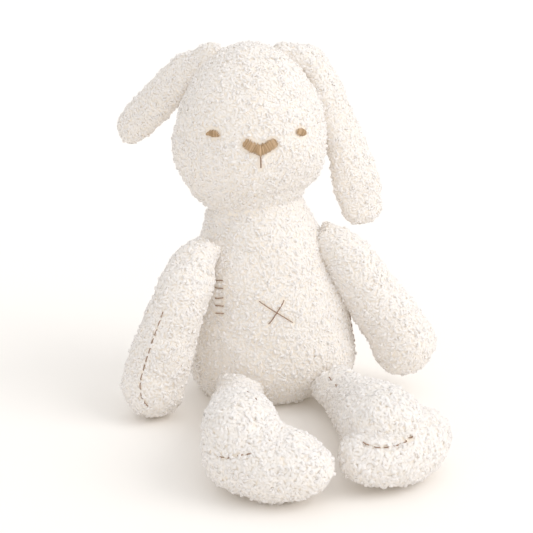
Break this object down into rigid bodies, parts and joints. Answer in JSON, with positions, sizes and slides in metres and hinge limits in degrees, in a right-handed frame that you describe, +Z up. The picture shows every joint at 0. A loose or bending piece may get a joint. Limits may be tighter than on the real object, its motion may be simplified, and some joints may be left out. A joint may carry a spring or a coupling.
{
  "type": "stuffed bunny rabbit",
  "caption": "Sitting stuffed rabbit in cream curly boucle, with long drooping ears, soft arms and legs, embroidered face and a cross-stitched belly.",
  "frame": {"origin": "middle of the flat seat, on the surface the toy sits on", "axes": "+Z up, the rabbit faces -Y, its own left side is +X"},
  "size_m": [0.2384, 0.3207, 0.265],
  "materials": {
    "cream_boucle": "curly looped teddy pile, matt",
    "polyester_fibre": "loose white fibre",
    "pellet_bag_cloth": "plain woven cloth filled with pellets",
    "tan_embroidery": "satin-stitched embroidery thread",
    "brown_thread": "twisted sewing thread"
  },
  "bodies": {
    "torso": {"seat_panel": "cream_boucle", "torso_front_panel": "cream_boucle", "torso_back_panel": "cream_boucle", "torso_filling": "polyester_fibre", "seat_pellet_bag": "pellet_bag_cloth", "belly_cross_stitch": "brown_thread", "side_ladder_stitches": "brown_thread", "left_side_seam_thread": "brown_thread"},
    "neck": {"neck_gather_band": "cream_boucle", "neck_filling": "polyester_fibre"},
    "head": {"face_panel": "cream_boucle", "back_of_head_panel": "cream_boucle", "head_filling": "polyester_fibre", "left_eye_embroidery": "tan_embroidery", "right_eye_embroidery": "tan_embroidery", "nose_embroidery": "tan_embroidery", "mouth_stitch": "brown_thread"},
    "left_ear": {"left_ear_front_panel": "cream_boucle", "left_ear_back_panel": "cream_boucle", "left_ear_filling": "polyester_fibre"},
    "left_arm": {"left_arm_front_panel": "cream_boucle", "left_arm_back_panel": "cream_boucle", "left_arm_filling": "polyester_fibre"},
    "left_leg": {"left_leg_inner_panel": "cream_boucle", "left_leg_outer_panel": "cream_boucle", "left_leg_filling": "polyester_fibre", "left_foot_panel": "cream_boucle", "left_foot_filling": "polyester_fibre", "left_ankle_stitch": "brown_thread", "left_shin_stitch": "brown_thread"},
    "right_ear": {"right_ear_front_panel": "cream_boucle", "right_ear_back_panel": "cream_boucle", "right_ear_filling": "polyester_fibre"},
    "right_arm": {"right_arm_front_panel": "cream_boucle", "right_arm_back_panel": "cream_boucle", "right_arm_filling": "polyester_fibre", "right_arm_seam_thread": "brown_thread"},
    "right_leg": {"right_leg_inner_panel": "cream_boucle", "right_leg_outer_panel": "cream_boucle", "right_leg_filling": "polyester_fibre", "right_foot_panel": "cream_boucle", "right_foot_filling": "polyester_fibre", "right_ankle_stitch": "brown_thread", "right_shin_stitch": "brown_thread"}
  },
  "joints": [
    {"name": "head_turn", "type": "hinge", "parent": "torso", "child": "neck", "pos_m": [-0.015, 0.008, 0.141], "axis": [-0.1043, 0.061, 0.9927], "range_deg": [-30, 30]},
    {"name": "head_nod", "type": "hinge", "parent": "neck", "child": "head", "pos_m": [-0.015, 0.008, 0.141], "axis": [1, 0, 0], "range_deg": [-11, 11]},
    {"name": "left_ear_lift", "type": "hinge", "parent": "head", "child": "left_ear", "pos_m": [0.0109, 0.0208, 0.254], "axis": [0, -1, 0], "range_deg": [0, 115]},
    {"name": "right_ear_lift", "type": "hinge", "parent": "head", "child": "right_ear", "pos_m": [-0.0448, 0.023, 0.254], "axis": [0.7507, 0.6606, 0], "range_deg": [0, 100]},
    {"name": "left_arm_lift", "type": "hinge", "parent": "torso", "child": "left_arm", "pos_m": [0.0336, -0.0046, 0.1194], "axis": [-0.8, -0.6, 0], "range_deg": [0, 75]},
    {"name": "right_arm_lift", "type": "hinge", "parent": "torso", "child": "right_arm", "pos_m": [-0.0475, -0.0215, 0.116], "axis": [-0.8, 0.6, 0], "range_deg": [0, 75]},
    {"name": "left_leg_lift", "type": "hinge", "parent": "torso", "child": "left_leg", "pos_m": [0.0355, -0.049, 0.0195], "axis": [-1, 0, 0], "range_deg": [0, 50]},
    {"name": "right_leg_lift", "type": "hinge", "parent": "torso", "child": "right_leg", "pos_m": [-0.0355, -0.049, 0.0195], "axis": [-1, 0, 0], "range_deg": [0, 50]}
  ]
}
